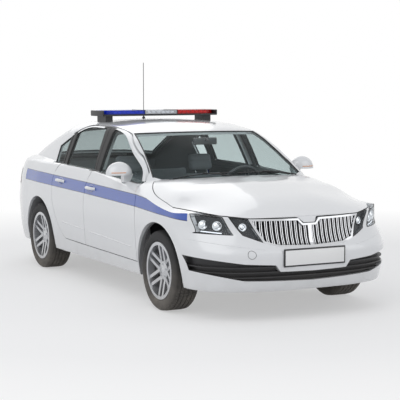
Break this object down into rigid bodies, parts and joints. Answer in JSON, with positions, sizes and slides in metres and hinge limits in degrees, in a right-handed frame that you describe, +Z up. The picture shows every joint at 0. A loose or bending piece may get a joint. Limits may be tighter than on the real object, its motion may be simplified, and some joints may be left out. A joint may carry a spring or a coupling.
{
  "type": "police patrol car",
  "caption": "Five-door liftback patrol car with a roof light bar, white body with a side stripe, opening doors, bonnet and tailgate, steering and turning wheels.",
  "frame": {"origin": "centre of the footprint on the ground", "axes": "+X forward, +Y to the car's left, +Z up"},
  "size_m": [4.6697, 2.016, 1.9899],
  "materials": {
    "white_paint": "gloss",
    "dark_glass": "gloss",
    "black_trim": "matte",
    "bright_trim": "polished",
    "clear_lamp": "gloss",
    "red_lamp": "gloss",
    "signal_lens": "gloss",
    "silver_wheel": "satin",
    "tyre_rubber": "matte",
    "dark_steel": "matte",
    "steel": "satin",
    "cabin_plastic": "matte",
    "seat_fabric": "matte"
  },
  "bodies": {
    "shell": {"floor_pan": "dark_steel", "body_sides": "white_paint", "roof_panel": "white_paint", "front_fenders": "white_paint", "front_bumper": "white_paint", "rear_bumper": "white_paint", "bulkhead": "dark_steel", "engine_block": "dark_steel", "dashboard": "cabin_plastic", "front_seats": "seat_fabric", "rear_bench": "seat_fabric", "fixed_windows": "dark_glass", "lightbar_base": "black_trim", "lightbar_lenses": "signal_lens", "antenna": "black_trim", "headlamps": "clear_lamp", "tail_lamps": "red_lamp", "grille": "bright_trim", "air_intakes": "black_trim", "exhaust": "steel", "fuel_tank": "black_trim", "front_suspension": "dark_steel", "rear_axle": "dark_steel", "front_rails": "dark_steel"},
    "bonnet_lid": {"bonnet": "white_paint"},
    "tailgate_lid": {"tailgate": "white_paint", "rear_window": "dark_glass"},
    "left_knuckle_body": {"left_knuckle": "dark_steel"},
    "right_knuckle_body": {"right_knuckle": "dark_steel"},
    "steering_wheel_body": {"steering_wheel": "cabin_plastic"},
    "front_left_leaf": {"front_left_door": "white_paint", "front_left_window": "dark_glass", "left_mirror": "white_paint"},
    "front_left_wheel": {"front_left_rim": "silver_wheel", "front_left_tyre": "tyre_rubber"},
    "front_right_leaf": {"front_right_door": "white_paint", "front_right_window": "dark_glass", "right_mirror": "white_paint"},
    "front_right_wheel": {"front_right_rim": "silver_wheel", "front_right_tyre": "tyre_rubber"},
    "rear_left_leaf": {"rear_left_door": "white_paint", "rear_left_window": "dark_glass"},
    "rear_left_wheel": {"rear_left_rim": "silver_wheel", "rear_left_tyre": "tyre_rubber"},
    "rear_right_leaf": {"rear_right_door": "white_paint", "rear_right_window": "dark_glass"},
    "rear_right_wheel": {"rear_right_rim": "silver_wheel", "rear_right_tyre": "tyre_rubber"}
  },
  "joints": [
    {"name": "front_left_door_hinge", "type": "hinge", "parent": "shell", "child": "front_left_leaf", "pos_m": [1.03, 0.911, 0.65], "axis": [0, 0, -1], "range_deg": [0, 68]},
    {"name": "rear_left_door_hinge", "type": "hinge", "parent": "shell", "child": "rear_left_leaf", "pos_m": [0.016, 0.911, 0.65], "axis": [0, 0, -1], "range_deg": [0, 65]},
    {"name": "front_right_door_hinge", "type": "hinge", "parent": "shell", "child": "front_right_leaf", "pos_m": [1.03, -0.911, 0.65], "axis": [0, 0, 1], "range_deg": [0, 68]},
    {"name": "rear_right_door_hinge", "type": "hinge", "parent": "shell", "child": "rear_right_leaf", "pos_m": [0.016, -0.911, 0.65], "axis": [0, 0, 1], "range_deg": [0, 65]},
    {"name": "bonnet_hinge", "type": "hinge", "parent": "shell", "child": "bonnet_lid", "pos_m": [1.003, 0, 1.026], "axis": [0, -1, 0], "range_deg": [0, 50]},
    {"name": "tailgate_hinge", "type": "hinge", "parent": "shell", "child": "tailgate_lid", "pos_m": [-1.1, 0, 1.394], "axis": [0, 1, 0], "range_deg": [0, 70]},
    {"name": "left_steer", "type": "hinge", "parent": "shell", "child": "left_knuckle_body", "pos_m": [1.43, 0.68, 0.317], "axis": [0, 0, 1], "range_deg": [-35, 35]},
    {"name": "right_steer", "type": "hinge", "parent": "shell", "child": "right_knuckle_body", "pos_m": [1.43, -0.68, 0.317], "axis": [0, 0, 1], "range_deg": [-35, 35]},
    {"name": "steering_wheel_turn", "type": "hinge", "parent": "shell", "child": "steering_wheel_body", "pos_m": [0.52, 0.37, 0.88], "axis": [-0.9272, 0, 0.3746], "range_deg": [-490, 490]},
    {"name": "front_left_wheel_spin", "type": "hinge", "parent": "left_knuckle_body", "child": "front_left_wheel", "pos_m": [1.43, 0.775, 0.317], "axis": [0, 1, 0], "continuous": true},
    {"name": "front_right_wheel_spin", "type": "hinge", "parent": "right_knuckle_body", "child": "front_right_wheel", "pos_m": [1.43, -0.775, 0.317], "axis": [0, 1, 0], "continuous": true},
    {"name": "rear_left_wheel_spin", "type": "hinge", "parent": "shell", "child": "rear_left_wheel", "pos_m": [-1.256, 0.775, 0.317], "axis": [0, 1, 0], "continuous": true},
    {"name": "rear_right_wheel_spin", "type": "hinge", "parent": "shell", "child": "rear_right_wheel", "pos_m": [-1.256, -0.775, 0.317], "axis": [0, 1, 0], "continuous": true}
  ],
  "couplings": [
    {"joint": "right_steer", "follows": "left_steer", "ratio": 1},
    {"joint": "steering_wheel_turn", "follows": "left_steer", "ratio": 14}
  ]
}
